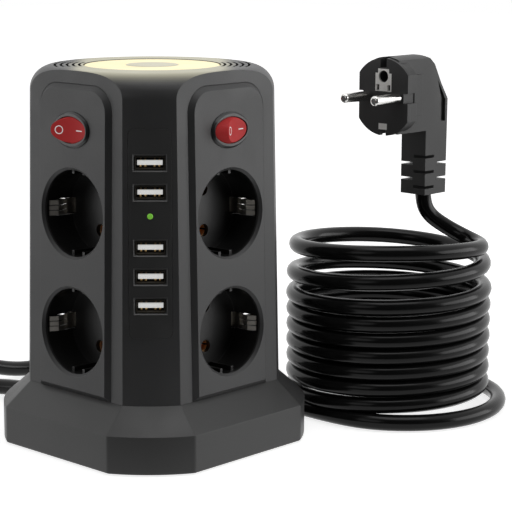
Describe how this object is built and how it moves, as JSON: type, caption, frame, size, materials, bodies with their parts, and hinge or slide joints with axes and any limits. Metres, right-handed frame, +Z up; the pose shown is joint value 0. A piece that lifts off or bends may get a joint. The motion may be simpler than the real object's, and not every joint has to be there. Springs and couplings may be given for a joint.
{
  "type": "tower power strip",
  "caption": "Tower power strip: flared base, square column with earthed round sockets and red rocker switches, charging ports on a corner, round lamp on top, coiled lead and angled plug.",
  "frame": {"origin": "on the floor under the middle of the tower's base", "axes": "+Z up along the column; the four socket faces look along +X, +Y, -X and -Y; the column with the charging ports is between +X and -Y, and the lead leaves on the -X side"},
  "size_m": [0.313, 0.2828, 0.1778],
  "materials": {
    "black_plastic": "satin moulded, fine grain",
    "panel_plastic": "satin moulded",
    "well_plastic": "satin moulded",
    "foot_rubber": "soft, matte",
    "screw_steel": "zinc plated",
    "spring_steel": "nickel plated",
    "contact_brass": "plain",
    "switch_black": "polished",
    "switch_red": "translucent, lit from inside",
    "port_steel": "nickel plated",
    "port_white": "plain",
    "board_green": "solder mask",
    "light_green": "translucent, lit",
    "diffuser_white": "translucent, lit from below",
    "button_white": "satin",
    "chip_yellow": "lit",
    "cord_black": "smooth, glossy PVC",
    "gland_black": "satin",
    "plug_black": "satin moulded",
    "pin_nickel": "nickel plated, polished"
  },
  "bodies": {
    "tower": {"base_shell": "black_plastic", "bottom_plate": "black_plastic", "rubber_feet": "foot_rubber", "base_screws": "screw_steel", "housing_screws": "screw_steel", "tower_housing": "black_plastic", "usb_panel": "panel_plastic", "port_shells": "port_steel", "port_tongues": "port_white", "usb_board": "board_green", "indicator_light": "light_green", "lamp_diffuser": "diffuser_white", "touch_button": "button_white", "lamp_board": "board_green", "lamp_chips": "chip_yellow", "cord_gland": "gland_black", "cord_tail": "cord_black", "cord_clamp": "black_plastic", "clamp_screws": "screw_steel", "power_cord": "cord_black", "cord_coil": "cord_black", "plug_lead": "cord_black", "plug_body": "plug_black", "plug_pins": "pin_nickel", "plug_earth_contacts": "spring_steel", "socket_panel_front": "panel_plastic", "socket_cup_front_upper": "well_plastic", "socket_cup_front_lower": "well_plastic", "earth_clips_front": "spring_steel", "contacts_front": "contact_brass", "switch_case_front": "switch_black", "socket_panel_right": "panel_plastic", "socket_cup_right_upper": "well_plastic", "socket_cup_right_lower": "well_plastic", "earth_clips_right": "spring_steel", "contacts_right": "contact_brass", "switch_case_right": "switch_black", "socket_panel_back": "panel_plastic", "socket_cup_back_upper": "well_plastic", "socket_cup_back_lower": "well_plastic", "earth_clips_back": "spring_steel", "contacts_back": "contact_brass", "switch_case_back": "switch_black", "socket_panel_left": "panel_plastic", "socket_cup_left_upper": "well_plastic", "socket_cup_left_lower": "well_plastic", "earth_clips_left": "spring_steel", "contacts_left": "contact_brass", "switch_case_left": "switch_black"},
    "rocker_front": {"rocker_front": "switch_red"},
    "rocker_right": {"rocker_right": "switch_red"},
    "rocker_back": {"rocker_back": "switch_red"},
    "rocker_left": {"rocker_left": "switch_red"}
  },
  "joints": [
    {"name": "rocker_front_turn", "type": "hinge", "parent": "tower", "child": "rocker_front", "pos_m": [0, -0.049, 0.15059], "axis": [0, 0.0199, 0.9998], "range_deg": [-35, 0]},
    {"name": "rocker_right_turn", "type": "hinge", "parent": "tower", "child": "rocker_right", "pos_m": [0.049, 0, 0.15059], "axis": [-0.0199, 0, 0.9998], "range_deg": [-35, 0]},
    {"name": "rocker_back_turn", "type": "hinge", "parent": "tower", "child": "rocker_back", "pos_m": [0, 0.049, 0.15059], "axis": [0, -0.0199, 0.9998], "range_deg": [-35, 0]},
    {"name": "rocker_left_turn", "type": "hinge", "parent": "tower", "child": "rocker_left", "pos_m": [-0.049, 0, 0.15059], "axis": [0.0199, 0, 0.9998], "range_deg": [-35, 0]}
  ]
}
